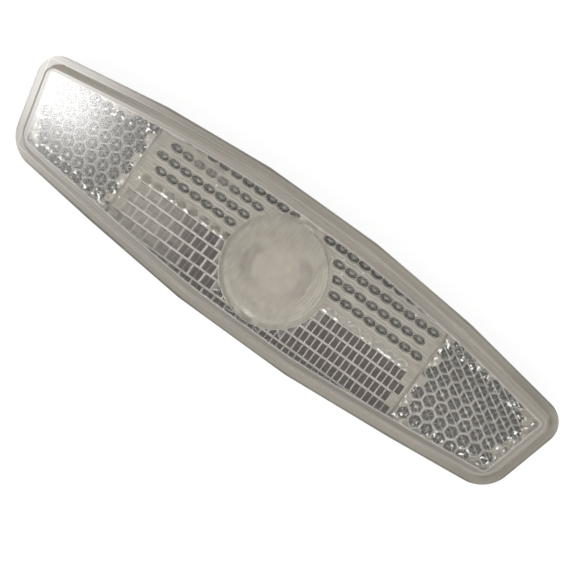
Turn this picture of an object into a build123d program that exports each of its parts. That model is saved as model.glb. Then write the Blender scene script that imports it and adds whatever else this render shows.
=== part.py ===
"""Two-sided bicycle spoke reflector: two clear prism lenses welded back to back round a spoke clip.

The rear face lies on Z = 0 and the hub axis is Z. X runs along the reflector, Y along the spoke.
"""
import math
import os

from build123d import *

# Outline of the welding flange
width = 28.1               # across the middle
side_flat = 23.2           # straight middle stretch of each long side
side_break = 65.4          # distance between the bends nearer the ends
break_width = 24.4         # width at those bends
end_span = 109.1           # distance between the two ends on the centre line
end_width = 18.4           # width there
end_drop = 0.55            # how far the ends sit below the middle
end_lean = 14.0            # degrees that each end leans, the upper side being the longer
upper_corner = 4.1
lower_corner = 6.4

# Lens shells, both halves alike
half_depth = 5.0
flange = 1.2               # width of the flange beyond the skirt
flange_thickness = 1.2
skirt_slope = 0.9          # how far the skirt leans in from flange to face
face_chamfer = 0.5
face_wall = 2.0
border = 3.1               # flange edge to the air gap, at the face wall
wall_draft = 0.9           # how far the air gap widens down to the welded joint

# Hub, clear of prisms
hub_radius = 9.25          # inside of the low rim round the hub
rim_width = 0.8

# Prism fields
pitch = 2.5                # cell to cell along a row
pin_root = 0.3             # depth that a prism is sunk in the wall
field_gap = 0.15           # between a field and the wall beside it
end_field_start = 31.0     # distance of the end fields from the hub axis
hex_low_row = -7.05        # height of the lowest row of hexagonal pins
hex_rows = 8
row_end = 0.49             # part of a pitch beside a pin's centre that must lie in the field
rib_width = 0.45
rib_height = 0.8           # ribs and hub rim
oval_length = 2.34
oval_height = 1.36
oval_flat = 1.3            # length of the oval's straight sides
oval_row_pitch = 2.47
oval_tilt = 27.0           # degrees that the oval pins' corners are tipped
oval_apex_shift = 0.32
oval_low_row = -0.02       # height of the lowest oval row
oval_rows = 5
oval_start = 0.85
roof_row_pitch = 2.2
roof_length = 1.78         # length of a roof row along its ridge
roof_tip = 12.0            # degrees that a ridge dips
roof_base = 0.42           # depth of the valleys at the deep end
roof_top_row = -0.93       # upper edge of the highest roof row
roof_rows = 5

# Spoke clip
spoke = 2.0                # diameter of the spoke it takes
spoke_play = 0.05          # radial room in the seat
spoke_depth = 1.85         # spoke axis above the rear face
neck = 1.7                 # opening that the spoke snaps through
slit = 1.45
channel_play = 0.35        # room beside the spoke outside the jaws
post_radius = 4.6
ring_inner = 6.3
ring_outer = 7.05
clip_web = 1.2
web_drop = 1.6             # web below the window
clip_flange = 1.2
clip_play = 0.25           # flange in the hub rim
opening_play = 0.1         # ring in the rear opening
rear_recess = 0.25         # jaws below the rear face
post_drop = 0.6            # front of the post below the window
front_notch = 2.8          # notches in the front of the ring
crease_depth = 0.4

# Spoke channel of the rear lens
channel_wall = 1.1

depth = 2 * half_depth
front_inner = depth - face_wall
rim_outer = hub_radius + rim_width
seat_radius = spoke / 2 + spoke_play
channel_radius = spoke / 2 + channel_play
channel_top = spoke_depth + channel_radius
end_x = end_span / 2
lean = math.tan(math.radians(end_lean))
end_slope = (break_width - end_width) / (end_span - side_break)
upper_slope = end_slope + 2 * end_drop / (end_span - side_break)
lower_slope = end_slope - 2 * end_drop / (end_span - side_break)
upper_end_y = (end_width / 2 - end_drop) / (1 + upper_slope * lean)
lower_end_y = -(end_width / 2 + end_drop) / (1 - lower_slope * lean)
middle_half = end_field_start - rib_width - 2 * field_gap
hex_radius = pitch / math.sqrt(3)
hex_row_pitch = 1.5 * hex_radius
hex_depth = hex_radius * math.sqrt(2)          # a cube corner's depth over its hexagon
corner_edge = math.acos(1 / math.sqrt(3))      # a cube's edge from its diagonal
reach = end_span                               # longer than any field
cutter = 4 * pitch
field_split = (oval_low_row - oval_height / 2 + roof_top_row) / 2
roof_width = pitch / 2
roof_count = math.floor(middle_half / roof_width) - 1

with BuildSketch() as outline:
    with BuildLine():
        half = Polyline(
            (0, width / 2),
            (side_flat / 2, width / 2),
            (side_break / 2, break_width / 2),
            (end_x + lean * upper_end_y, upper_end_y),
            (end_x + lean * lower_end_y, lower_end_y),
            (side_break / 2, -break_width / 2),
            (side_flat / 2, -width / 2),
            (0, -width / 2),
        )
        mirror(half, about=Plane.YZ)
    make_face()
    near_end = (end_x + side_break / 2) / 2
    fillet(outline.vertices().filter_by(lambda v: abs(v.X) > near_end and v.Y > 0), upper_corner)
    lower_ends = outline.vertices().filter_by(lambda v: abs(v.X) > near_end and v.Y < lower_end_y / 2)
    fillet(lower_ends, lower_corner)


def corner_plane(apex, azimuth, tilt):
    """Plane on a cube corner's three edges, the edge at azimuth first, tipped by tilt degrees about X."""
    edges = []
    for turn in (0, 120, 240):
        angle = math.radians(azimuth + turn)
        edge = Vector(
            math.sin(corner_edge) * math.cos(angle),
            math.sin(corner_edge) * math.sin(angle),
            math.cos(corner_edge),
        )
        edges.append(edge.rotate(Axis.X, tilt))
    return Plane(origin=apex, x_dir=edges[0], z_dir=edges[2])


def staggered(start, first_y, row_pitch, rows, lead):
    """Cell centres in rows along X, every other row moved by half a pitch, beginning with row lead."""
    count = math.ceil(reach / pitch)
    return [
        (start + pitch * (column + 0.5 * ((row + lead) % 2)), first_y + row_pitch * row)
        for row in range(rows)
        for column in range(-count, count)
    ]


def covers(sketch, x, y):
    return any(face.is_inside((x, y, 0)) for face in sketch.faces())


# Fields in plan: the air gap, the part of it free for prisms, its ends, and the upper and lower middle
with BuildSketch() as air_gap:
    add(outline.sketch)
    offset(amount=-border)

with BuildSketch() as prism_area:
    add(air_gap.sketch)
    offset(amount=-field_gap)

with BuildSketch() as end_fields:
    add(prism_area.sketch)
    Rectangle(2 * end_field_start, width, mode=Mode.SUBTRACT)

with BuildSketch() as upper_field:
    with Locations((0, field_split)):
        Rectangle(2 * middle_half, width, align=(Align.CENTER, Align.MIN))
    Circle(rim_outer + field_gap, mode=Mode.SUBTRACT)
    add(prism_area.sketch, mode=Mode.INTERSECT)

with BuildSketch() as lower_field:
    with Locations((0, field_split)):
        Rectangle(2 * middle_half, width, align=(Align.CENTER, Align.MAX))
    Circle(rim_outer + field_gap, mode=Mode.SUBTRACT)
    add(prism_area.sketch, mode=Mode.INTERSECT)

with BuildSketch() as rib_area:
    add(air_gap.sketch)
    offset(amount=pin_root)

# Hexagonal pin with an upright cube corner
with BuildPart() as hex_pin:
    with BuildSketch(Plane.XY.offset(front_inner + pin_root)):
        RegularPolygon(hex_radius, 6, rotation=90)
    extrude(amount=-pin_root - hex_depth)
    with Locations(corner_plane((0, 0, front_inner - hex_depth), 90, 0)):
        Box(cutter, cutter, cutter, align=(Align.MIN, Align.MIN, Align.MIN), mode=Mode.INTERSECT)

# Flattened pin whose corner is tipped, so that one face shows from the front
with BuildPart() as oval_pin:
    with BuildSketch(Plane.XY.offset(front_inner + pin_root)):
        Polygon(
            (oval_length / 2, 0),
            (oval_flat / 2, oval_height / 2),
            (-oval_flat / 2, oval_height / 2),
            (-oval_length / 2, 0),
            (-oval_flat / 2, -oval_height / 2),
            (oval_flat / 2, -oval_height / 2),
            align=None,
        )
    extrude(amount=-pin_root - hex_depth)
    with Locations(corner_plane((0, oval_apex_shift, front_inner - hex_depth), 90, oval_tilt)):
        Box(cutter, cutter, cutter, align=(Align.MIN, Align.MIN, Align.MIN), mode=Mode.INTERSECT)

# End fields: whole pins at both ends of a row, the top row cut by the sloping side
right_grid = staggered(end_field_start + pitch / 2, hex_low_row, hex_row_pitch, hex_rows, 0)
left_grid = staggered(-end_field_start - pitch / 2, hex_low_row, hex_row_pitch, hex_rows, 1)
hex_grid = [(x, y) for x, y in right_grid if x > 0] + [(x, y) for x, y in left_grid if x < 0]
hex_centres = [
    (x, y, 0)
    for x, y in hex_grid
    if all(covers(end_fields.sketch, x + side * row_end * pitch, y) for side in (1, 0, -1))
]
with BuildPart() as hex_field:
    with Locations(*hex_centres):
        add(hex_pin.part)
    with BuildSketch(Plane.XY.offset(half_depth)):
        add(end_fields.sketch)
    extrude(amount=half_depth, mode=Mode.INTERSECT)

# Upper middle: flattened pins round the hub
oval_grid = staggered(oval_start, oval_low_row, oval_row_pitch, oval_rows, 1)
oval_centres = [
    (x, y, 0)
    for x, y in oval_grid
    if abs(x) < middle_half - oval_length / 2 and covers(upper_field.sketch, x, y)
]
with BuildPart() as oval_field:
    with Locations(*oval_centres):
        add(oval_pin.part)
    with BuildSketch(Plane.XY.offset(half_depth)):
        add(upper_field.sketch)
    extrude(amount=half_depth, mode=Mode.INTERSECT)

# Lower middle: rows of right-angled roofs, each row dipping towards its far end
ridge_dir = Vector(0, -1, 0).rotate(Axis.X, -roof_tip)
with BuildPart() as roof_field:
    for row in range(roof_rows):
        row_start = (0, roof_top_row - roof_row_pitch * row, front_inner)
        half_count = roof_count + row % 2
        zigzag = [
            ((step - half_count) * roof_width, -roof_base - roof_width * (step % 2))
            for step in range(2 * half_count + 1)
        ]
        with BuildSketch(Plane(origin=row_start, x_dir=(1, 0, 0), z_dir=ridge_dir)):
            with BuildLine():
                Polyline(*zigzag, (zigzag[-1][0], pin_root), (zigzag[0][0], pin_root), close=True)
            make_face()
        extrude(amount=roof_length)
    with BuildSketch(Plane.XY.offset(half_depth)):
        add(lower_field.sketch)
    extrude(amount=half_depth, mode=Mode.INTERSECT)

# Lens shell in the front position, which is the front lens
with BuildPart() as front_lens:
    with BuildSketch(Plane.XY.offset(half_depth)):
        add(outline.sketch)
        offset(amount=-flange)
    with BuildSketch(Plane.XY.offset(depth - face_chamfer)):
        add(outline.sketch)
        offset(amount=-flange - skirt_slope)
    with BuildSketch(Plane.XY.offset(depth)):
        add(outline.sketch)
        offset(amount=-flange - skirt_slope - face_chamfer)
    loft(ruled=True)
    with BuildSketch(Plane.XY.offset(half_depth)):
        add(outline.sketch)
    extrude(amount=flange_thickness)
    with BuildSketch(Plane.XY.offset(half_depth)):
        add(outline.sketch)
        offset(amount=wall_draft - border)
    with BuildSketch(Plane.XY.offset(front_inner)):
        add(air_gap.sketch)
    loft(ruled=True, mode=Mode.SUBTRACT)
    # low rim round the hub, and ribs beside the end fields
    with BuildSketch(Plane.XY.offset(front_inner - rib_height)):
        Circle(rim_outer)
        Circle(hub_radius, mode=Mode.SUBTRACT)
        for side in (1, -1):
            with Locations((side * (middle_half + field_gap + rib_width / 2), 0)):
                Rectangle(rib_width, width)
        add(rib_area.sketch, mode=Mode.INTERSECT)
    extrude(amount=rib_height + pin_root)
    add(hex_field.part)
    add(oval_field.part)
    add(roof_field.part)

# Rear lens: the same shell turned over, with the hub opening and the spoke channel
channel_half = channel_radius + channel_wall
with BuildPart() as rear_lens:
    mirror(front_lens.part, about=Plane.XY.offset(half_depth))
    with BuildSketch(Plane.XY.offset(face_wall - pin_root)):
        Rectangle(2 * channel_half, width - 2 * flange - 2 * skirt_slope)
        Circle(hub_radius + rim_width / 2, mode=Mode.SUBTRACT)
    extrude(amount=channel_top + channel_wall - face_wall + pin_root)
    with BuildSketch():
        Circle(ring_outer + opening_play)
    extrude(amount=face_wall, mode=Mode.SUBTRACT)
    with BuildSketch(Plane.XZ):
        with Locations((0, spoke_depth)):
            Circle(channel_radius)
        Rectangle(2 * channel_radius, spoke_depth, align=(Align.CENTER, Align.MIN))
    extrude(amount=width, both=True, mode=Mode.SUBTRACT)

# Spoke clip: split post, ring and flange turned about the hub axis
flange_top = face_wall + clip_flange
web_top = front_inner - web_drop
groove_top = web_top - clip_web
post_top = front_inner - post_drop
clip_radius = hub_radius - clip_play
with BuildPart() as spoke_clip:
    with BuildSketch(Plane.XZ):
        with BuildLine():
            Polyline(
                (0, rear_recess),
                (post_radius, rear_recess),
                (post_radius, groove_top),
                (ring_inner, groove_top),
                (ring_inner, rear_recess),
                (ring_outer, rear_recess),
                (ring_outer, face_wall),
                (clip_radius, face_wall),
                (clip_radius, flange_top),
                (ring_outer, flange_top),
                (ring_outer, front_inner),
                (ring_inner, front_inner),
                (ring_inner, web_top),
                (post_radius, web_top),
                (post_radius, post_top),
                (0, post_top),
                close=True,
            )
        make_face()
    revolve(axis=Axis.Z)
    # spoke seat, snap neck and flexing slit through the post
    with BuildSketch(Plane.XZ):
        with Locations((0, spoke_depth)):
            Circle(seat_radius)
            Rectangle(slit, groove_top - spoke_depth, align=(Align.CENTER, Align.MIN))
        Rectangle(neck, spoke_depth, align=(Align.CENTER, Align.MIN))
    extrude(amount=(post_radius + ring_inner) / 2, both=True, mode=Mode.SUBTRACT)
    # way for the spoke through the ring and the flange
    for side in (1, -1):
        with BuildSketch(Plane.XZ.offset(side * (post_radius + ring_inner) / 2)):
            with Locations((0, spoke_depth)):
                Circle(channel_radius)
            Rectangle(2 * channel_radius, spoke_depth, align=(Align.CENTER, Align.MIN))
        extrude(amount=side * hub_radius, mode=Mode.SUBTRACT)
    # notches in the front of the ring and the crease across the post
    with BuildSketch(Plane.XY.offset(front_inner)):
        for side in (1, -1):
            with Locations((0, side * (ring_inner + ring_outer) / 2)):
                Rectangle(front_notch, ring_inner - post_radius)
    extrude(amount=-web_drop, mode=Mode.SUBTRACT)
    with BuildSketch(Plane.XY.offset(post_top)):
        Rectangle(slit, 2 * post_radius)
    extrude(amount=-crease_depth, mode=Mode.SUBTRACT)

os.makedirs("parts", exist_ok=True)
for label, piece in (
    ("front_lens", front_lens.part),
    ("rear_lens", rear_lens.part),
    ("spoke_clip", spoke_clip.part),
):
    piece.label = label
    export_step(piece, f"parts/{label}.step")
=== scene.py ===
import math

import bpy
from mathutils import Matrix, Vector

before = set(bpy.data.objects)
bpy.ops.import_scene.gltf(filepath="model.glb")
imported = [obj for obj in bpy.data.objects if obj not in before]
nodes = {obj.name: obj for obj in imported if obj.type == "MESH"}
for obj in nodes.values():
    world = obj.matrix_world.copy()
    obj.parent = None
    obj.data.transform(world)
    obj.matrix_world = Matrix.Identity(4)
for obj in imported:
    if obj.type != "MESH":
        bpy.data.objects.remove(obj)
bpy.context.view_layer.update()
mm = 0.001
print("frame loaded:", sorted(nodes))

# sizes that the patterns share with the moulding, in mm
mould = {
    "depth": 10.0,
    "faceWall": 2.0,          # front face to the roots of the prisms
    "border": 3.1,            # flange edge to the air gap
    "flangeTop": 6.2,
    "skirtLevel": 0.196,      # how level the skirt is: upward part of its normal
    "corners": ((0, 14.05), (11.6, 14.05), (32.7, 12.2), (56.62, 8.31),
                (52.05, -10.03), (32.7, -12.2), (11.6, -14.05), (0, -14.05)),
    "pitch": 2.5,             # prism to prism along a row
    "hexLowRow": -7.05,
    "endFieldStart": 31.0,
    "ovalLowRow": -0.02,
    "ovalRowPitch": 2.47,
    "ovalStart": 0.85,
    "ovalLength": 2.34,
    "ovalHeight": 1.36,
    "roofTopRow": -0.93,
    "roofRowPitch": 2.2,
    "hubRadius": 9.25,
}


def linear(hexColour):
    # sRGB hex to the linear values that the nodes want
    channels = [int(hexColour[i:i + 2], 16) / 255 for i in (1, 3, 5)]
    return [c / 12.92 if c <= 0.04045 else ((c + 0.055) / 1.055) ** 2.4 for c in channels] + [1.0]


def addNode(tree, kind, settings=None, *values, **named):
    # one node with its settings; each input takes a value, a socket or another node's first output
    node = tree.nodes.new("ShaderNode" + kind)
    for name, value in (settings or {}).items():
        setattr(node, name, value)
    inputs = [s for s in node.inputs if s.enabled]
    pairs = list(zip(inputs, values)) + [(node.inputs[n.replace("_", " ")], v) for n, v in named.items()]
    for socket, value in pairs:
        if isinstance(value, bpy.types.Node):
            value = next(s for s in value.outputs if s.enabled)
        if isinstance(value, bpy.types.NodeSocket):
            tree.links.new(value, socket)
        elif value is not None:
            socket.default_value = value
    return node


def startMaterial(name):
    material = bpy.data.materials.new(name)
    material.use_nodes = True
    material.node_tree.nodes.clear()
    return material, material.node_tree


# Camera: 300 mm above, turned 35 degrees, leaning a little to the right and the upper side
lens = {
    "distance": 300.0,
    "leanRight": 4.5,
    "leanUp": 5.0,
    "roll": 35.4,
    "picture": 576,           # pixels along each side
    "scale": 5.67,            # pixels per mm at the aim
    "centre": (278.0, 270.9),
}


def setCamera():
    picture = lens["picture"]
    right, up = math.radians(lens["leanRight"]), math.radians(lens["leanUp"])
    roll = math.radians(lens["roll"])
    toCamera = Vector((math.sin(right) * math.cos(up), math.sin(up), math.cos(right) * math.cos(up)))
    across = Vector((0, 1, 0)).cross(toCamera).normalized()
    over = toCamera.cross(across)
    imageRight = across * math.cos(roll) + over * math.sin(roll)
    imageUp = over * math.cos(roll) - across * math.sin(roll)
    data = bpy.data.cameras.new("camera")
    camera = bpy.data.objects.new("camera", data)
    bpy.context.scene.collection.objects.link(camera)
    turn = Matrix((imageRight, imageUp, toCamera)).transposed()
    aim = Vector((0, 0, mould["depth"] / 2)) * mm
    camera.matrix_world = Matrix.Translation(aim + toCamera * lens["distance"] * mm) @ turn.to_4x4()
    data.sensor_width = 36.0
    data.lens = data.sensor_width * lens["distance"] * lens["scale"] / picture
    data.shift_x = (picture / 2 - lens["centre"][0]) / picture
    data.shift_y = (lens["centre"][1] - picture / 2) / picture
    data.clip_start, data.clip_end = 0.01, 10
    bpy.context.scene.camera = camera


setCamera()
print("camera set")

# Injection-moulded acrylic: water clear, with a grey haze where the mould was matt or the halves are welded
acrylic = {
    "clear": "#F6F5F1",
    "haze": "#D2CBC0",        # plain inner face between the prisms
    "wall": ("#F8F6F0", "#A09B92"),       # sides of ribs and pins, and of the air gap
    "weld": "#C4C0B6",
    "hex": "#463F3B",         # tints of the three kinds of prism
    "oval": "#38291B",
    "roof": ("#6A514E", "#D8D1C8"),       # sharp, and drawn paler as painted light on the roofs to the left
    "brim": "#24170D",        # edge of the flattened pins
    "line": "#FFFDF8",        # rounded edges between the prism faces, their painted reflections, and the painted glints on the face
    "rib": "#DAD5CB",
    "border": ("#B2ACA1", "#88827A"),     # the flange, and the raised part
    "endBorder": "#938D84",   # its plainer right end
    "chip": "#5A4F48",        # broken prisms at the ends of the rows
    "ior": 1.55,
    "roughness": (0.12, 0.04, 0.18),      # face, inside, border
    # share of the light that goes through
    "through": {
        "clear": 0.95, "hub": 0.35, "haze": 0.25, "rib": 0.1, "wall": 0.15, "weld": 0.1,
        "border": 0.3, "worn": 0.12, "hex": 0.98, "roof": (0.7, 0.6), "oval": 0.5, "line": 0.1,
    },
}

# what tells the surfaces of a lens apart: upward part of the normal, and heights in mm
surface = {
    "stray": 0.22,            # width over which the mould's edges wander, mm
    "flat": 0.97,
    "upright": 0.31,
    "steep": 0.1,
    "skirtReach": 0.05,
    "prism": (0.64, 0.33),    # middle and reach of the prism faces
    "overRoot": 0.03,
    "overFlange": 0.02,
    "overWeld": 0.05,
    "ribBelow": 0.3,
    "cornerBlend": 1.0,       # how softly the sides of the outline meet
    "borderBlend": 0.5,
    "besideEnd": 0.2,
}


def findSurfaces(tree, rear):
    # where a point is, in mm, and which moulded surface it is on
    place = addNode(tree, "TexCoord")
    inMm = addNode(tree, "VectorMath", {"operation": "SCALE"}, place.outputs["Object"], 1 / mm)
    wander = addNode(tree, "TexNoise", None, Vector=inMm, Scale=0.9, Detail=2.0)
    shift = addNode(tree, "VectorMath", {"operation": "SUBTRACT"}, wander.outputs["Color"], (0.5, 0.5, 0.5))
    stray = (surface["stray"], surface["stray"], 0.0)
    moved = addNode(tree, "VectorMath", {"operation": "MULTIPLY_ADD"}, shift, stray, inMm)
    x, y, height = addNode(tree, "SeparateXYZ", None, moved).outputs
    if rear:
        height = addNode(tree, "Math", {"operation": "SUBTRACT"}, mould["depth"], height)
    normal = addNode(tree, "SeparateXYZ", None, place.outputs["Normal"])
    level = addNode(tree, "Math", {"operation": "ABSOLUTE"}, normal.outputs["Z"])

    root = mould["depth"] - mould["faceWall"]
    weldTop = mould["depth"] / 2 + surface["overWeld"]
    flat = addNode(tree, "Math", {"operation": "GREATER_THAN"}, level, surface["flat"])
    upright = addNode(tree, "Math", {"operation": "LESS_THAN"}, level, surface["upright"])
    steep = addNode(tree, "Math", {"operation": "LESS_THAN"}, level, surface["steep"])
    skirt = addNode(tree, "Math", {"operation": "COMPARE"}, level, mould["skirtLevel"], surface["skirtReach"])
    faceSide = addNode(tree, "Math", {"operation": "GREATER_THAN"}, height, root + surface["overRoot"])
    flangeEnd = mould["flangeTop"] + surface["overFlange"]
    flangeHigh = addNode(tree, "Math", {"operation": "LESS_THAN"}, height, flangeEnd)
    notSloped = addNode(tree, "Math", {"operation": "MAXIMUM"}, flat, steep)
    flange = addNode(tree, "Math", {"operation": "MULTIPLY"}, flangeHigh, notSloped)
    outer = addNode(tree, "Math", {"operation": "MAXIMUM"}, faceSide, skirt)
    outer = addNode(tree, "Math", {"operation": "MAXIMUM"}, outer, flange)
    inner = addNode(tree, "Math", {"operation": "SUBTRACT"}, 1.0, outer)
    sloped = addNode(tree, "Math", {"operation": "COMPARE"}, level, *surface["prism"])
    facet = addNode(tree, "Math", {"operation": "MULTIPLY"}, inner, sloped)
    wall = addNode(tree, "Math", {"operation": "MULTIPLY"}, inner, upright)
    haze = addNode(tree, "Math", {"operation": "MULTIPLY"}, inner, flat)
    weld = addNode(tree, "Math", {"operation": "LESS_THAN"}, height, weldTop)
    plan = addNode(tree, "CombineXYZ", None, x, y, 0.0)
    fromHub = addNode(tree, "VectorMath", {"operation": "LENGTH"}, plan)
    inHub = addNode(tree, "Math", {"operation": "LESS_THAN"}, fromHub, mould["hubRadius"])
    hub = addNode(tree, "Math", {"operation": "MULTIPLY"}, haze, inHub)
    low = addNode(tree, "Math", {"operation": "LESS_THAN"}, height, root - surface["ribBelow"])
    rib = addNode(tree, "Math", {"operation": "MULTIPLY"}, haze, low)

    # distance from the edge of the outline
    across = addNode(tree, "Math", {"operation": "ABSOLUTE"}, x)
    folded = addNode(tree, "CombineXYZ", None, across, y, 0.0)
    outside = None
    for start, end in zip(mould["corners"], mould["corners"][1:]):
        along = Vector((end[0] - start[0], end[1] - start[1], 0)).normalized()
        outward = Vector((-along.y, along.x, 0))
        dot = addNode(tree, "VectorMath", {"operation": "DOT_PRODUCT"}, folded, outward)
        beyond = addNode(tree, "Math", {"operation": "SUBTRACT"}, dot, outward.dot(Vector((*start, 0))))
        if outside is None:
            outside = beyond
        else:
            blend = surface["cornerBlend"]
            outside = addNode(tree, "Math", {"operation": "SMOOTH_MAX"}, outside, beyond, blend)
    inset = addNode(tree, "Math", {"operation": "MULTIPLY"}, outside, -1.0)
    blendEnd = mould["border"] + surface["borderBlend"]
    onBorder = addNode(tree, "MapRange", None, inset, blendEnd, mould["border"], 0.0, 1.0)
    border = addNode(tree, "Math", {"operation": "MULTIPLY"}, onBorder, outer)

    # which field of prisms: the ends, and above or below in the middle
    left = addNode(tree, "Math", {"operation": "LESS_THAN"}, x, 0.0)
    endStart = mould["endFieldStart"] - surface["besideEnd"]
    isEnd = addNode(tree, "Math", {"operation": "GREATER_THAN"}, across, endStart)
    splitY = (mould["ovalLowRow"] - mould["ovalHeight"] / 2 + mould["roofTopRow"]) / 2
    isUpper = addNode(tree, "Math", {"operation": "GREATER_THAN"}, y, splitY)
    isOval = addNode(tree, "Math", {"operation": "SUBTRACT"}, isUpper, isEnd)
    isOval = addNode(tree, "Math", {"operation": "MAXIMUM"}, isOval, 0.0)
    return {
        "inMm": inMm, "x": x, "y": y, "plan": plan, "across": across, "left": left,
        "fromHub": fromHub, "inset": inset, "isEnd": isEnd, "isUpper": isUpper, "isOval": isOval,
        "flat": flat, "outer": outer, "inner": inner, "facet": facet, "wall": wall, "haze": haze,
        "weld": weld, "hub": hub, "rib": rib, "border": border,
    }


def nearestCell(tree, u, v, halfPitch, rowPitch):
    # place inside the nearest cell of a staggered grid, as a vector
    cells = []
    for moved in (0, 1):
        uMoved = addNode(tree, "Math", {"operation": "SUBTRACT"}, u, moved * halfPitch)
        vMoved = addNode(tree, "Math", {"operation": "SUBTRACT"}, v, moved * rowPitch)
        uIn = addNode(tree, "Math", {"operation": "WRAP"}, uMoved, halfPitch, -halfPitch)
        vIn = addNode(tree, "Math", {"operation": "WRAP"}, vMoved, rowPitch, -rowPitch)
        cells.append(addNode(tree, "CombineXYZ", None, uIn, vIn, 0.0))
    far = [addNode(tree, "VectorMath", {"operation": "LENGTH"}, cell) for cell in cells]
    nearer = addNode(tree, "Math", {"operation": "LESS_THAN"}, far[1], far[0])
    return addNode(tree, "Mix", {"data_type": "VECTOR"}, nearer, cells[0], cells[1])


# hexagonal pins of the end fields
hexPins = {
    "seam": 0.25,                     # half widths of the light lines, mm
    "star": 0.085,
    "seamSoft": (1.4, 0.5),           # where they begin and are full, as shares of that
    "starSoft": (2.2, 0.7),
    "highlightSlant": (0.02, 0.083, 0),        # way in which the painted highlight on the lines grows, per mm
    "patchy": 0.8,
    "main": (0.5, 1.3, 0.45, 0.85),   # along that way: from, to, and the lightness at both
    "other": (0.5, 1.5, 0.6, 0.2),
    "seamTop": (0.8, 1.7, 0.9, 0.6),
    "leftSeam": 0.7,
    "otherWide": 0.6,                 # width of the other edges as a share of the main one's
    "middle": (0.4, 0.18),            # radii of the light spot, mm
    "middleTop": (0.35, 0.65, 0.2, 1.0),
}


def hexPinLines(tree, at):
    # distance to three axes gives both the seams and the star of edges in each pin; each star line runs right
    # through the pin, so half of it is a real edge and half a painted reflection of that edge
    half = mould["pitch"] / 2
    hexRow = mould["pitch"] * math.sqrt(3) / 2
    u = addNode(tree, "Math", {"operation": "SUBTRACT"}, at["across"], mould["endFieldStart"] + half)
    vRight = addNode(tree, "Math", {"operation": "SUBTRACT"}, at["y"], mould["hexLowRow"])
    v = addNode(tree, "Math", {"operation": "MULTIPLY_ADD"}, at["left"], -hexRow, vRight)
    local = nearestCell(tree, u, v, half, hexRow)
    # painted highlight: towards the upper right one edge of the three is drawn lighter than the others, and
    # the seams change with it
    towards = addNode(tree, "VectorMath", {"operation": "DOT_PRODUCT"}, at["plan"], hexPins["highlightSlant"])
    patch = addNode(tree, "TexNoise", None, Vector=at["inMm"], Scale=0.4, Detail=2.0)
    towards = addNode(tree, "Math", {"operation": "MULTIPLY_ADD"}, patch, hexPins["patchy"], towards)
    main = addNode(tree, "MapRange", None, towards, *hexPins["main"])
    other = addNode(tree, "MapRange", None, towards, *hexPins["other"])
    seamTop = addNode(tree, "MapRange", None, towards, *hexPins["seamTop"])
    seamTop = addNode(tree, "Mix", {"data_type": "FLOAT"}, at["left"], seamTop, hexPins["leftSeam"])
    most, star = None, None
    otherWide = hexPins["otherWide"]
    for angle, weight, share in ((0, other, otherWide), (60, main, 1.0), (120, other, otherWide)):
        axis = (math.cos(math.radians(angle)), math.sin(math.radians(angle)), 0)
        dot = addNode(tree, "VectorMath", {"operation": "DOT_PRODUCT"}, local, axis)
        off = addNode(tree, "Math", {"operation": "ABSOLUTE"}, dot)
        wide = share * hexPins["star"]
        begin, full = (s * wide for s in hexPins["starSoft"])
        ray = addNode(tree, "MapRange", None, off, begin, full, 0.0, weight)
        most = off if most is None else addNode(tree, "Math", {"operation": "MAXIMUM"}, most, off)
        star = ray if star is None else addNode(tree, "Math", {"operation": "MAXIMUM"}, star, ray)
    begin, full = (half - s * hexPins["seam"] for s in hexPins["seamSoft"])
    seam = addNode(tree, "MapRange", None, most, begin, full, 0.0, seamTop)
    hexLine = addNode(tree, "Math", {"operation": "MAXIMUM"}, seam, star)
    fromPin = addNode(tree, "VectorMath", {"operation": "LENGTH"}, local)
    middleTop = addNode(tree, "MapRange", None, patch, *hexPins["middleTop"])
    middle = addNode(tree, "MapRange", None, fromPin, *hexPins["middle"], 0.0, middleTop)
    return addNode(tree, "Math", {"operation": "MAXIMUM"}, hexLine, middle)


# flattened pins of the upper field; distances named out are shares of the oval
ovalPins = {
    "share": 0.9,                     # height of the dark ovals as a share of the pins' own
    "spotOut": (0.46, 0.26),
    "cross": (("X", 0.16, 0.45), ("Y", 0.13, 0.35)),    # half width in mm, and lightness
    "soft": 0.3,                      # where the lines are full, as a share of their half width
    "offHub": 1.45,                   # nearer to the hub or to a rib than this there is no oval, mm
    "offRib": 1.92,
    "spareOut": 1.05,
    "footOut": (1.04, 0.96),
    "brimOut": 0.92,
    "brim": (0.17, 0.07, 0.0, 0.7),
    "halos": ((1.3, 0.12, 0.4), (1.62, 0.22, 0.5)),     # out, half width, strength
    "fadeMiddle": -19.0,              # a stretch of the two upper rows has nearly faded, mm
    "fadeReach": (7.0, 3.5, 0.0, 0.75),
    "fadeRows": (5.9, 6.5),
}


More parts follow.
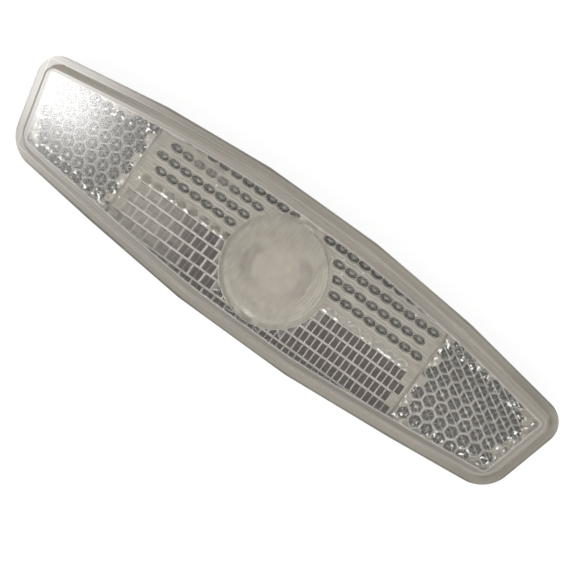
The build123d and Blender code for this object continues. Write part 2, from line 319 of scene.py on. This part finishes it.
def ovalPinLines(tree, at):
    # a light spot and a faint cross in the middle of each pin
    half = mould["pitch"] / 2
    u = addNode(tree, "Math", {"operation": "SUBTRACT"}, at["x"], mould["ovalStart"] + half)
    v = addNode(tree, "Math", {"operation": "SUBTRACT"}, at["y"], mould["ovalLowRow"])
    local = nearestCell(tree, u, v, half, mould["ovalRowPitch"])
    toEdge = (2 / mould["ovalLength"], 2 / (ovalPins["share"] * mould["ovalHeight"]), 0)
    stretched = addNode(tree, "VectorMath", {"operation": "MULTIPLY"}, local, toEdge)
    ovalOut = addNode(tree, "VectorMath", {"operation": "LENGTH"}, stretched)
    ovalLine = addNode(tree, "MapRange", None, ovalOut, *ovalPins["spotOut"], 0.0, 1.0)
    inOval = addNode(tree, "SeparateXYZ", None, local)
    for side, wide, light in ovalPins["cross"]:
        off = addNode(tree, "Math", {"operation": "ABSOLUTE"}, inOval.outputs[side])
        ray = addNode(tree, "MapRange", None, off, wide, ovalPins["soft"] * wide, 0.0, light)
        ovalLine = addNode(tree, "Math", {"operation": "MAXIMUM"}, ovalLine, ray)
    # pins that the hub or a rib would cut are left plain
    middle = addNode(tree, "VectorMath", {"operation": "SUBTRACT"}, at["plan"], local)
    offHub = addNode(tree, "VectorMath", {"operation": "LENGTH"}, middle)
    clear = mould["hubRadius"] + ovalPins["offHub"]
    offHub = addNode(tree, "Math", {"operation": "GREATER_THAN"}, offHub, clear)
    middleX = addNode(tree, "SeparateXYZ", None, middle)
    middleX = addNode(tree, "Math", {"operation": "ABSOLUTE"}, middleX)
    ribStart = mould["endFieldStart"] - ovalPins["offRib"]
    offRib = addNode(tree, "Math", {"operation": "LESS_THAN"}, middleX, ribStart)
    whole = addNode(tree, "Math", {"operation": "MULTIPLY"}, offHub, offRib)
    return ovalLine, ovalOut, whole, offRib


# roof rows of the lower field
roofs = {
    "edge": 0.10,                     # half width of the light lines, mm
    "soft": (1.6, 0.5),               # where they begin and are full, as shares of that
    "paired": (2.0, -2.0),            # along x in mm: single to the right, in pairs to the left
    "pairedNarrow": 0.62,
    "pairedRidge": 0.3,
    "paintedLightLeft": (-13.0, -21.0),        # along x in mm: dark to the right, drawn paler to the left as painted light
    "paintedLightLeftLine": 0.4,
    "dull": 0.12,
}


def roofLines(tree, at):
    # light seams along the valleys and ridges
    x = at["x"]
    step = mould["pitch"] / 4
    offLine = addNode(tree, "Math", {"operation": "WRAP"}, x, step, -step)
    offLine = addNode(tree, "Math", {"operation": "ABSOLUTE"}, offLine)
    # left of the hub the valleys are wider and the ridges fainter, so that the roofs stand in pairs of faces
    paired = addNode(tree, "MapRange", None, x, *roofs["paired"], 0.0, 1.0)
    narrow = addNode(tree, "MapRange", None, paired, 0.0, 1.0, 1.0, roofs["pairedNarrow"])
    offLine = addNode(tree, "Math", {"operation": "MULTIPLY"}, offLine, narrow)
    begin, full = (s * roofs["edge"] for s in roofs["soft"])
    roofLine = addNode(tree, "MapRange", None, offLine, begin, full, 0.0, 1.0)
    row = addNode(tree, "Math", {"operation": "SUBTRACT"}, mould["roofTopRow"], at["y"])
    row = addNode(tree, "Math", {"operation": "DIVIDE"}, row, mould["roofRowPitch"])
    row = addNode(tree, "Math", {"operation": "FLOOR"}, row)
    row = addNode(tree, "Math", {"operation": "MODULO"}, row, 2.0)
    ridge = addNode(tree, "Math", {"operation": "MULTIPLY_ADD"}, row, 2 * step, x)
    ridge = addNode(tree, "Math", {"operation": "WRAP"}, ridge, 2 * step, -2 * step)
    ridge = addNode(tree, "Math", {"operation": "ABSOLUTE"}, ridge)
    ridge = addNode(tree, "Math", {"operation": "LESS_THAN"}, ridge, step)
    ridge = addNode(tree, "Math", {"operation": "MULTIPLY"}, ridge, paired)
    ridge = addNode(tree, "MapRange", None, ridge, 0.0, 1.0, 1.0, roofs["pairedRidge"])
    roofLine = addNode(tree, "Math", {"operation": "MULTIPLY"}, roofLine, ridge)
    # painted light: to the left the roofs are drawn paler and their seams fainter
    paintedLightLeft = addNode(tree, "MapRange", None, x, *roofs["paintedLightLeft"], 0.0, 1.0)
    seamShare = addNode(tree, "MapRange", None, paintedLightLeft, 0.0, 1.0, 1.0, roofs["paintedLightLeftLine"])
    roofLine = addNode(tree, "Math", {"operation": "MULTIPLY"}, roofLine, seamShare)
    return roofLine, paintedLightLeft


def prismFaces(tree, at, hexLine, ovalLine, roofLine, paintedLightLeft):
    # colour of the prism faces with their light edges, and how much light they let through
    through = acrylic["through"]
    line = addNode(tree, "Mix", {"data_type": "FLOAT"}, at["isUpper"], roofLine, ovalLine)
    line = addNode(tree, "Mix", {"data_type": "FLOAT"}, at["isEnd"], line, hexLine)
    roofTint = addNode(tree, "Mix", {"data_type": "RGBA"}, paintedLightLeft, *(linear(c) for c in acrylic["roof"]))
    tint = addNode(tree, "Mix", {"data_type": "RGBA"}, at["isUpper"], roofTint, linear(acrylic["oval"]))
    tint = addNode(tree, "Mix", {"data_type": "RGBA"}, at["isEnd"], tint, linear(acrylic["hex"]))
    tint = addNode(tree, "Mix", {"data_type": "RGBA"}, line, tint, linear(acrylic["line"]))
    roofClear = addNode(tree, "Mix", {"data_type": "FLOAT"}, paintedLightLeft, *through["roof"])
    # some roofs are duller than others
    roofSize = (mould["pitch"] / 2, mould["roofRowPitch"], 1)
    cell = addNode(tree, "VectorMath", {"operation": "SNAP"}, at["plan"], roofSize)
    dull = addNode(tree, "TexWhiteNoise", {"noise_dimensions": "2D"}, cell)
    dull = addNode(tree, "MapRange", None, dull, 0.0, 1.0, -roofs["dull"], roofs["dull"])
    roofClear = addNode(tree, "Math", {"operation": "SUBTRACT"}, roofClear, dull)
    facetClear = addNode(tree, "Mix", {"data_type": "FLOAT"}, at["isEnd"], roofClear, through["hex"])
    facetClear = addNode(tree, "Mix", {"data_type": "FLOAT"}, at["isOval"], facetClear, through["oval"])
    facetClear = addNode(tree, "MapRange", None, line, 0.0, 1.0, facetClear, through["line"])
    return tint, facetClear


def ovalFeet(tree, at, ovalOut, whole):
    # the row of flattened pins next to the roofs is hardly formed
    x, y, isOval = at["x"], at["y"], at["isOval"]
    lowEnd = mould["ovalLowRow"] + mould["ovalRowPitch"] / 2
    isLow = addNode(tree, "Math", {"operation": "LESS_THAN"}, y, lowEnd)
    wornRow = addNode(tree, "Math", {"operation": "MULTIPLY"}, isOval, isLow)
    worn = addNode(tree, "Math", {"operation": "MULTIPLY"}, at["facet"], wornRow)
    rightColour, leftColour = linear(acrylic["line"]), linear(acrylic["rib"])
    wornColour = addNode(tree, "Mix", {"data_type": "RGBA"}, at["left"], rightColour, leftColour)
    # a stretch of the two upper rows on the left has nearly faded
    fadeX = addNode(tree, "Math", {"operation": "SUBTRACT"}, x, ovalPins["fadeMiddle"])
    fadeX = addNode(tree, "Math", {"operation": "ABSOLUTE"}, fadeX)
    fadeX = addNode(tree, "MapRange", None, fadeX, *ovalPins["fadeReach"])
    faded = addNode(tree, "MapRange", None, y, *ovalPins["fadeRows"], 0.0, 1.0)
    faded = addNode(tree, "Math", {"operation": "MULTIPLY"}, faded, fadeX)
    keep = addNode(tree, "Math", {"operation": "SUBTRACT"}, 1.0, faded)
    sound = addNode(tree, "Math", {"operation": "SUBTRACT"}, isOval, wornRow)
    sound = addNode(tree, "Math", {"operation": "MULTIPLY"}, sound, whole)
    sound = addNode(tree, "Math", {"operation": "MULTIPLY"}, sound, keep)
    formed = addNode(tree, "Math", {"operation": "MULTIPLY"}, sound, at["haze"])
    # what a pin has beyond its oval is plain
    spare = addNode(tree, "Math", {"operation": "GREATER_THAN"}, ovalOut, ovalPins["spareOut"])
    spare = addNode(tree, "Math", {"operation": "MAXIMUM"}, spare, faded)
    spare = addNode(tree, "Mix", {"data_type": "FLOAT"}, whole, 1.0, spare)
    spare = addNode(tree, "Math", {"operation": "MULTIPLY"}, spare, isOval)
    spare = addNode(tree, "Math", {"operation": "MULTIPLY"}, spare, at["facet"])
    # a dark rounded foot, darkest along its edge, with a fainter dark and a light line round it
    foot = addNode(tree, "MapRange", None, ovalOut, *ovalPins["footOut"], 0.0, 1.0)
    foot = addNode(tree, "Math", {"operation": "MULTIPLY"}, foot, formed)
    brim = addNode(tree, "Math", {"operation": "SUBTRACT"}, ovalOut, ovalPins["brimOut"])
    brim = addNode(tree, "Math", {"operation": "ABSOLUTE"}, brim)
    brim = addNode(tree, "MapRange", None, brim, *ovalPins["brim"])
    brim = addNode(tree, "Math", {"operation": "MULTIPLY"}, brim, sound)
    brim = addNode(tree, "Math", {"operation": "MULTIPLY"}, brim, at["inner"])
    halos = []
    for ring, half, strength in ovalPins["halos"]:
        halo = addNode(tree, "Math", {"operation": "SUBTRACT"}, ovalOut, ring)
        halo = addNode(tree, "Math", {"operation": "ABSOLUTE"}, halo)
        halo = addNode(tree, "MapRange", None, halo, half, ovalPins["soft"] * half, 0.0, strength)
        halos.append(addNode(tree, "Math", {"operation": "MULTIPLY"}, halo, formed))
    return worn, wornColour, spare, foot, brim, halos


def colourBands(tree, distance, stops):
    # colours by distance in mm
    reach = stops[-1][0]
    share = addNode(tree, "Math", {"operation": "DIVIDE"}, distance, reach)
    ramp = addNode(tree, "ValToRGB", None, share)
    elements = ramp.color_ramp.elements
    elements.remove(elements[1])
    for number, (start, colour) in enumerate(stops):
        element = elements[0] if number == 0 else elements.new(start / reach)
        element.color = linear(colour)
    return ramp


# plain inner faces between the prisms
plainFace = {
    "grainSize": (0.35, 2.6, 1.0),    # longer along the body
    "grain": (0.35, 0.65, 0.8, 1.12),
    "paleEnd": (2.6, 3.0),            # lighter between the roof rows, to this far from the end fields, mm
    "paleShare": 0.5,
    "speck": (0.55, 1.0, 0.0, 0.2),
    "chipLight": (0.58, 0.66, 0.0, 1.0),
    "chipDark": (0.4, 0.34, 0.0, 0.8),
}


def plainFaces(tree, at):
    # grain along the body and a few light specks
    inMm, haze = at["inMm"], at["haze"]
    fine = addNode(tree, "VectorMath", {"operation": "MULTIPLY"}, inMm, plainFace["grainSize"])
    grain = addNode(tree, "TexNoise", None, Vector=fine, Scale=1.0, Detail=3.0)
    plain = addNode(tree, "MapRange", None, grain, *plainFace["grain"])
    plain = addNode(tree, "VectorMath", {"operation": "SCALE"}, linear(acrylic["haze"])[:3], plain)
    none, full = (mould["endFieldStart"] - d for d in plainFace["paleEnd"])
    pale = addNode(tree, "MapRange", None, at["across"], none, full, 0.0, plainFace["paleShare"])
    pale = addNode(tree, "Mix", {"data_type": "FLOAT"}, at["isUpper"], pale, 0.0)
    pale = addNode(tree, "Mix", {"data_type": "FLOAT"}, at["isEnd"], pale, 0.0)
    plain = addNode(tree, "Mix", {"data_type": "RGBA"}, pale, plain, linear(acrylic["line"]))
    dots = addNode(tree, "TexVoronoi", None, Vector=inMm, Scale=0.7)
    chance = addNode(tree, "SeparateColor", None, dots.outputs["Color"])
    size = addNode(tree, "MapRange", None, chance, *plainFace["speck"])
    speck = addNode(tree, "Math", {"operation": "LESS_THAN"}, dots.outputs["Distance"], size)
    speck = addNode(tree, "Math", {"operation": "MULTIPLY"}, speck, haze)
    # chipped prisms along the ends of the rows, light and dark
    endPlain = addNode(tree, "Math", {"operation": "MULTIPLY"}, at["isEnd"], haze)
    chips = addNode(tree, "TexNoise", None, Vector=inMm, Scale=0.75, Detail=2.0)
    chipLight = addNode(tree, "MapRange", None, chips, *plainFace["chipLight"])
    chipLight = addNode(tree, "Math", {"operation": "MULTIPLY"}, chipLight, endPlain)
    chipDark = addNode(tree, "MapRange", None, chips, *plainFace["chipDark"])
    chipDark = addNode(tree, "Math", {"operation": "MULTIPLY"}, chipDark, endPlain)
    return plain, speck, chipLight, chipDark


# milky window over the clip; lengths in mm from the hub axis
window = {
    "stops": ((0.0, "#E0D9CF"), (4.4, "#E0D9CF"), (6.6, "#D8D1C6"), (8.8, "#DED8CD"), (10.2, "#D6CFC4")),
    "cloud": (0.3, 0.7, 0.9, 1.06),
    "hollowTurn": 17,                 # degrees that the clip's two hollows are turned
    "hollowStart": (3.8, 4.6),
    "hollowEnd": (6.8, 6.1),
    "hollowSide": (4.6, 2.6, 0.0, 0.17),
    "ring": 0.3,                      # half the distance from ring to ring
    "ringLight": (0.16, -0.06),
    "ringsFrom": (5.5, 7.5),
    "rightLight": 0.008,              # lighter to the right, per mm
    "lowLight": (-3.0, -8.0, 0.0, 0.12),
    "streakSize": (1.6, 0.45, 1.0),   # longer along the spoke
    "streak": (0.3, 0.75, -0.1, 0.14),
    "offPost": (4.0, 6.5, 0.3, 1.0),
    "rim": 1.0,
}


def hubWindow(tree, at, bands):
    # the window is cloudy, and darker over the two hollows beside the clip's post: painted shade of the
    # hollows
    inMm, x, fromHub = at["inMm"], at["x"], at["fromHub"]
    soft = {"interpolation_type": "SMOOTHSTEP"}
    cloud = addNode(tree, "TexNoise", None, Vector=inMm, Scale=0.45, Detail=2.0)
    cloud = addNode(tree, "MapRange", None, cloud, *window["cloud"])
    # painted shade over the clip's two hollows
    hollowShade = addNode(tree, "MapRange", soft, fromHub, *window["hollowStart"], 0.0, 1.0)
    hollowEnd = addNode(tree, "MapRange", soft, fromHub, *window["hollowEnd"], 0.0, 1.0)
    turned = math.radians(window["hollowTurn"])
    sideways = (-math.sin(turned), math.cos(turned), 0)
    aside = addNode(tree, "VectorMath", {"operation": "DOT_PRODUCT"}, at["plan"], sideways)
    aside = addNode(tree, "Math", {"operation": "ABSOLUTE"}, aside)
    aside = addNode(tree, "MapRange", soft, aside, *window["hollowSide"])
    hollowShade = addNode(tree, "Math", {"operation": "MULTIPLY"}, hollowShade, hollowEnd)
    hollowShade = addNode(tree, "Math", {"operation": "MULTIPLY"}, hollowShade, aside)
    cloud = addNode(tree, "Math", {"operation": "SUBTRACT"}, cloud, hollowShade)
    # faint rings towards the right
    ring = window["ring"]
    arcs = addNode(tree, "Math", {"operation": "WRAP"}, fromHub, ring, -ring)
    arcs = addNode(tree, "Math", {"operation": "ABSOLUTE"}, arcs)
    arcs = addNode(tree, "MapRange", None, arcs, 0.0, ring, *window["ringLight"])
    rightward = addNode(tree, "MapRange", soft, x, *window["ringsFrom"], 0.0, 1.0)
    cloud = addNode(tree, "Math", {"operation": "MULTIPLY_ADD"}, arcs, rightward, cloud)
    # a little lighter to the right and below
    cloud = addNode(tree, "Math", {"operation": "MULTIPLY_ADD"}, x, window["rightLight"], cloud)
    lower = addNode(tree, "MapRange", None, at["y"], *window["lowLight"])
    cloud = addNode(tree, "Math", {"operation": "ADD"}, cloud, lower)
    # fine streaks along the spoke
    streaky = addNode(tree, "VectorMath", {"operation": "MULTIPLY"}, inMm, window["streakSize"])
    streaky = addNode(tree, "TexNoise", None, Vector=streaky, Scale=1.0, Detail=2.0)
    streaky = addNode(tree, "MapRange", None, streaky, *window["streak"])
    offPost = addNode(tree, "MapRange", soft, fromHub, *window["offPost"])
    cloud = addNode(tree, "Math", {"operation": "MULTIPLY_ADD"}, streaky, offPost, cloud)
    milky = addNode(tree, "VectorMath", {"operation": "SCALE"}, bands, cloud)
    isRim = addNode(tree, "Math", {"operation": "LESS_THAN"}, fromHub, mould["hubRadius"] + window["rim"])
    rim = addNode(tree, "Math", {"operation": "MULTIPLY"}, at["rib"], isRim)
    return milky, rim


# moulded border and the wall of the air gap inside it; lengths in mm
edging = {
    # colours by distance from the edge: the moulded steps, with painted highlights as the light lines at 1.2
    # and 2.75 mm and painted shade in the dark band at the very edge
    "stops": ((0.0, "#75706A"), (0.2, "#898479"), (0.4, "#A29D94"), (1.05, "#A49F95"), (1.2, "#C8C4BB"),
              (1.4, "#9D988F"), (2.1, "#958F86"), (2.55, "#8F8A81"), (2.75, "#ACA79F"), (3.0, "#918C83")),
    "raised": (1.8, 2.1),
    "rightEnd": (36.0, 50.0),         # along x, where the right end begins and is full
    "endBorder": 0.6,
    "endWall": 0.7,
    "plainer": (-25.0, 15.0, 0.3, 0.85),    # along x, how far the bands and their painted highlights give way to the plain colours
    "edge": (0.05, 0.35, 0.6, 1.0),
    "lowSideShade": (-3.0, -7.0, 1.0, 0.86),
    "gapWall": (1.1, 1.4),            # width of the gap's wall, in from the border
}


def mouldedBorder(tree, at, bands):
    x, inset = at["x"], at["inset"]
    soft = {"interpolation_type": "SMOOTHSTEP"}
    raised = addNode(tree, "MapRange", None, inset, *edging["raised"], 0.0, 1.0)
    plainBorder = addNode(tree, "Mix", {"data_type": "RGBA"}, raised, *(linear(c) for c in acrylic["border"]))
    plainEnd = addNode(tree, "MapRange", soft, x, *edging["rightEnd"], 0.0, edging["endBorder"])
    endBorder = linear(acrylic["endBorder"])
    plainBorder = addNode(tree, "Mix", {"data_type": "RGBA"}, plainEnd, plainBorder, endBorder)
    plainer = addNode(tree, "MapRange", None, x, *edging["plainer"])
    borderColour = addNode(tree, "Mix", {"data_type": "RGBA"}, plainer, bands, plainBorder)
    # painted shade: darker at the very edge and on the lower side
    shade = addNode(tree, "MapRange", None, inset, *edging["edge"])
    lowSideShade = addNode(tree, "MapRange", None, at["y"], *edging["lowSideShade"])
    shade = addNode(tree, "Math", {"operation": "MULTIPLY"}, shade, lowSideShade)
    borderColour = addNode(tree, "VectorMath", {"operation": "SCALE"}, borderColour, shade)
    pinWall, gapWall = (linear(c) for c in acrylic["wall"])
    begin, full = (mould["border"] + d for d in edging["gapWall"])
    inward = addNode(tree, "MapRange", None, inset, begin, full, 0.0, 1.0)
    rightEnd = addNode(tree, "MapRange", soft, x, *edging["rightEnd"], 0.0, edging["endWall"])
    inward = addNode(tree, "Math", {"operation": "MAXIMUM"}, inward, rightEnd)
    wallColour = addNode(tree, "Mix", {"data_type": "RGBA"}, inward, gapWall, pinWall)
    return borderColour, wallColour


# painted glints on the face over the prisms; lengths in mm
glint = {
    "fromRib": 0.7,
    "fromEdge": 5.4,
    "offGap": 0.8,
    "bits": (0.58, 0.68, 0.0, 0.7),
    "dashRow": -0.5,
    "dash": (0.24, 0.1),
    "dashPieces": (0.5, 0.6, 0.0, 0.8),
    "offHub": 1.0,
}


def paintedGlints(tree, at, offRib):
    # painted glints: light bits round the end fields and dashes along the hardly formed row, drawn on the
    # face above them
    inset = at["inset"]
    onFace = addNode(tree, "Math", {"operation": "MULTIPLY"}, at["outer"], at["flat"])
    ribEnd = mould["endFieldStart"] + glint["fromRib"]
    besideRib = addNode(tree, "Math", {"operation": "LESS_THAN"}, at["across"], ribEnd)
    aroundField = addNode(tree, "Math", {"operation": "LESS_THAN"}, inset, glint["fromEdge"])
    aroundField = addNode(tree, "Math", {"operation": "MAXIMUM"}, aroundField, besideRib)
    aroundField = addNode(tree, "Math", {"operation": "MULTIPLY"}, aroundField, at["isEnd"])
    gapStart = mould["border"] + glint["offGap"]
    insideGap = addNode(tree, "Math", {"operation": "GREATER_THAN"}, inset, gapStart)
    aroundField = addNode(tree, "Math", {"operation": "MULTIPLY"}, aroundField, insideGap)
    glintNoise = addNode(tree, "TexNoise", None, Vector=at["inMm"], Scale=1.3, Detail=1.0)
    bits = addNode(tree, "MapRange", None, glintNoise, *glint["bits"])
    bits = addNode(tree, "Math", {"operation": "MULTIPLY"}, bits, aroundField)
    dash = addNode(tree, "Math", {"operation": "SUBTRACT"}, at["y"], glint["dashRow"])
    dash = addNode(tree, "Math", {"operation": "ABSOLUTE"}, dash)
    dash = addNode(tree, "MapRange", None, dash, *glint["dash"], 0.0, 1.0)
    dashPieces = addNode(tree, "MapRange", None, glintNoise, *glint["dashPieces"])
    dash = addNode(tree, "Math", {"operation": "MULTIPLY"}, dash, dashPieces)
    hubEnd = mould["hubRadius"] + glint["offHub"]
    offHub = addNode(tree, "Math", {"operation": "GREATER_THAN"}, at["fromHub"], hubEnd)
    dash = addNode(tree, "Math", {"operation": "MULTIPLY"}, dash, offHub)
    dash = addNode(tree, "Math", {"operation": "MULTIPLY"}, dash, offRib)
    glinted = addNode(tree, "Math", {"operation": "MAXIMUM"}, bits, dash)
    return addNode(tree, "Math", {"operation": "MULTIPLY"}, glinted, onFace)


def acrylicMaterial(name, rear):
    material, tree = startMaterial(name)
    at = findSurfaces(tree, rear)
    hexLine = hexPinLines(tree, at)
    ovalLine, ovalOut, whole, offRib = ovalPinLines(tree, at)
    roofLine, paintedLightLeft = roofLines(tree, at)
    tint, facetClear = prismFaces(tree, at, hexLine, ovalLine, roofLine, paintedLightLeft)
    worn, wornColour, spare, foot, brim, halos = ovalFeet(tree, at, ovalOut, whole)
    borderBands = colourBands(tree, at["inset"], edging["stops"])
    hubBands = colourBands(tree, at["fromHub"], window["stops"])
    plain, speck, chipLight, chipDark = plainFaces(tree, at)
    milky, rim = hubWindow(tree, at, hubBands)
    borderColour, wallColour = mouldedBorder(tree, at, borderBands)
    glinted = paintedGlints(tree, at, offRib)

    # lay the surfaces over one another: colour, and how much light goes through
    through = acrylic["through"]
    colour, clear = linear(acrylic["clear"]), through["clear"]
    for mask, above, aboveClear in (
        (at["facet"], tint, facetClear),
        (worn, wornColour, through["worn"]),
        (spare, plain, through["haze"]),
        (at["haze"], plain, through["haze"]),
        (foot, linear(acrylic["oval"]), through["rib"]),
        (brim, linear(acrylic["brim"]), through["rib"]),
        (halos[0], linear(acrylic["oval"]), through["haze"]),
        (halos[1], linear(acrylic["line"]), through["haze"]),
        (chipDark, linear(acrylic["chip"]), through["haze"]),
        (chipLight, linear(acrylic["line"]), through["rib"]),
        (speck, linear(acrylic["line"]), through["rib"]),
        (at["hub"], milky, through["hub"]),
        (at["rib"], linear(acrylic["rib"]), through["rib"]),
        (rim, milky, through["hub"]),
        (at["wall"], wallColour, through["wall"]),
        (at["border"], borderColour, through["border"]),
        # painted glints on the face
        (glinted, linear(acrylic["line"]), through["rib"]),
        (at["weld"], linear(acrylic["weld"]), through["weld"]),
    ):
        colour = addNode(tree, "Mix", {"data_type": "RGBA"}, mask, colour, above)
        clear = addNode(tree, "Mix", {"data_type": "FLOAT"}, mask, clear, aboveClear)
    faceRough, innerRough, borderRough = acrylic["roughness"]
    rough = addNode(tree, "Mix", {"data_type": "FLOAT"}, at["inner"], faceRough, innerRough)
    rough = addNode(tree, "Mix", {"data_type": "FLOAT"}, at["border"], rough, borderRough)
    shader = addNode(
        tree, "BsdfPrincipled", None,
        Base_Color=colour, Transmission_Weight=clear, Roughness=rough, IOR=acrylic["ior"],
    )
    addNode(tree, "OutputMaterial", None, shader)
    return material


# Natural nylon: milky, waxy sheen
nylon = {
    "colours": ("#E5DFD5", "#EEE9E0"),
    "cloudSize": 3.0,         # mm
    "roughness": 0.38,
    "ior": 1.53,
    "drawBack": 0.02,         # mm
}


def nylonMaterial():
    material, tree = startMaterial("natural nylon")
    place = addNode(tree, "TexCoord")
    perCloud = 1 / (nylon["cloudSize"] * mm)
    cloud = addNode(tree, "TexNoise", None, Vector=place.outputs["Object"], Scale=perCloud, Detail=3.0)
    colour = addNode(tree, "Mix", {"data_type": "RGBA"}, cloud, *(linear(c) for c in nylon["colours"]))
    shader = addNode(
        tree, "BsdfPrincipled", None,
        Base_Color=colour, Roughness=nylon["roughness"], IOR=nylon["ior"],
    )
    addNode(tree, "OutputMaterial", None, shader)
    return material


finishes = {
    "front_lens": acrylicMaterial("clear acrylic, front", False),
    "rear_lens": acrylicMaterial("clear acrylic, rear", True),
    "spoke_clip": nylonMaterial(),
}
for name, material in finishes.items():
    nodes[name].data.materials.clear()
    nodes[name].data.materials.append(material)
# the clip's faces draw back a hair, so that they do not share a plane with the window
shrink = nodes["spoke_clip"].modifiers.new("clearance", "DISPLACE")
shrink.strength, shrink.mid_level = -nylon["drawBack"] * mm, 0.0
print("materials set")

# Floor: white paper, white to the camera and through the plastic, still taking the shadow
paper = {
    "colour": "#F2F2F0",
    "size": 3.0,
    "below": 0.02,            # mm under the part
    "roughness": 0.9,
    "glow": 0.88,
}
bpy.ops.object.select_all(action="DESELECT")
bpy.ops.mesh.primitive_plane_add(size=paper["size"], location=(0, 0, -paper["below"] * mm))
floor = bpy.context.object
floor.name = "floor"
floorMaterial, tree = startMaterial("white paper")
path = addNode(tree, "LightPath")
seen = path.outputs["Is Camera Ray"]
for ray in ("Is Glossy Ray", "Is Transmission Ray"):
    seen = addNode(tree, "Math", {"operation": "MAXIMUM"}, seen, path.outputs[ray])
glow = addNode(tree, "Math", {"operation": "MULTIPLY"}, seen, paper["glow"])
matt = addNode(tree, "BsdfPrincipled", None, Base_Color=linear(paper["colour"]), Roughness=paper["roughness"])
white = addNode(tree, "Emission", None, (1, 1, 1, 1), 1.0)
addNode(tree, "OutputMaterial", None, addNode(tree, "MixShader", None, glow, matt, white))
floor.data.materials.append(floorMaterial)

# Studio: pale walls, a darker ceiling above, one softbox over the left end
studio = {
    "walls": (1.0, 2.42),           # brightness at the horizon, and from 30 degrees up
    "ceiling": "#2B2321",
    "ceilingLean": 15,              # degrees that the dark part leans to the upper side
    "ceilingAngles": (26, 42),      # degrees from its middle to its soft edge
    "softboxSize": (0.04, 0.11),    # along the short and the long axis
    "softboxPlace": (-0.226, -0.047, 0.60),
    "softboxWatts": 0.37,
}
scene = bpy.context.scene
scene.view_settings.view_transform = "Standard"
world = bpy.data.worlds.new("studio")
scene.world = world
world.use_nodes = True
tree = world.node_tree
tree.nodes.clear()
place = addNode(tree, "TexCoord")
lean = math.radians(studio["ceilingLean"])
overhead = (0, math.sin(lean), math.cos(lean))
towards = addNode(tree, "VectorMath", {"operation": "DOT_PRODUCT"}, place.outputs["Generated"], overhead)
low, high = (math.cos(math.radians(a)) for a in reversed(studio["ceilingAngles"]))
inside = addNode(tree, "MapRange", None, towards, low, high, 0.0, 1.0)
upward = addNode(tree, "SeparateXYZ", None, place.outputs["Generated"]).outputs["Z"]
bright = addNode(tree, "MapRange", None, upward, 0.0, 0.5, *studio["walls"])
walls = addNode(tree, "CombineColor", None, bright, bright, bright)
shade = addNode(tree, "Mix", {"data_type": "RGBA"}, inside, walls, linear(studio["ceiling"]))
addNode(tree, "OutputWorld", None, addNode(tree, "Background", None, shade, 1.0))

light = bpy.data.lights.new("softbox", "AREA")
light.shape = "RECTANGLE"
light.size, light.size_y = studio["softboxSize"]
light.energy = studio["softboxWatts"]
softbox = bpy.data.objects.new("softbox", light)
scene.collection.objects.link(softbox)
softbox.location = studio["softboxPlace"]
softbox.rotation_euler = (-softbox.location).to_track_quat("-Z", "Y").to_euler()
print("floor and light set")
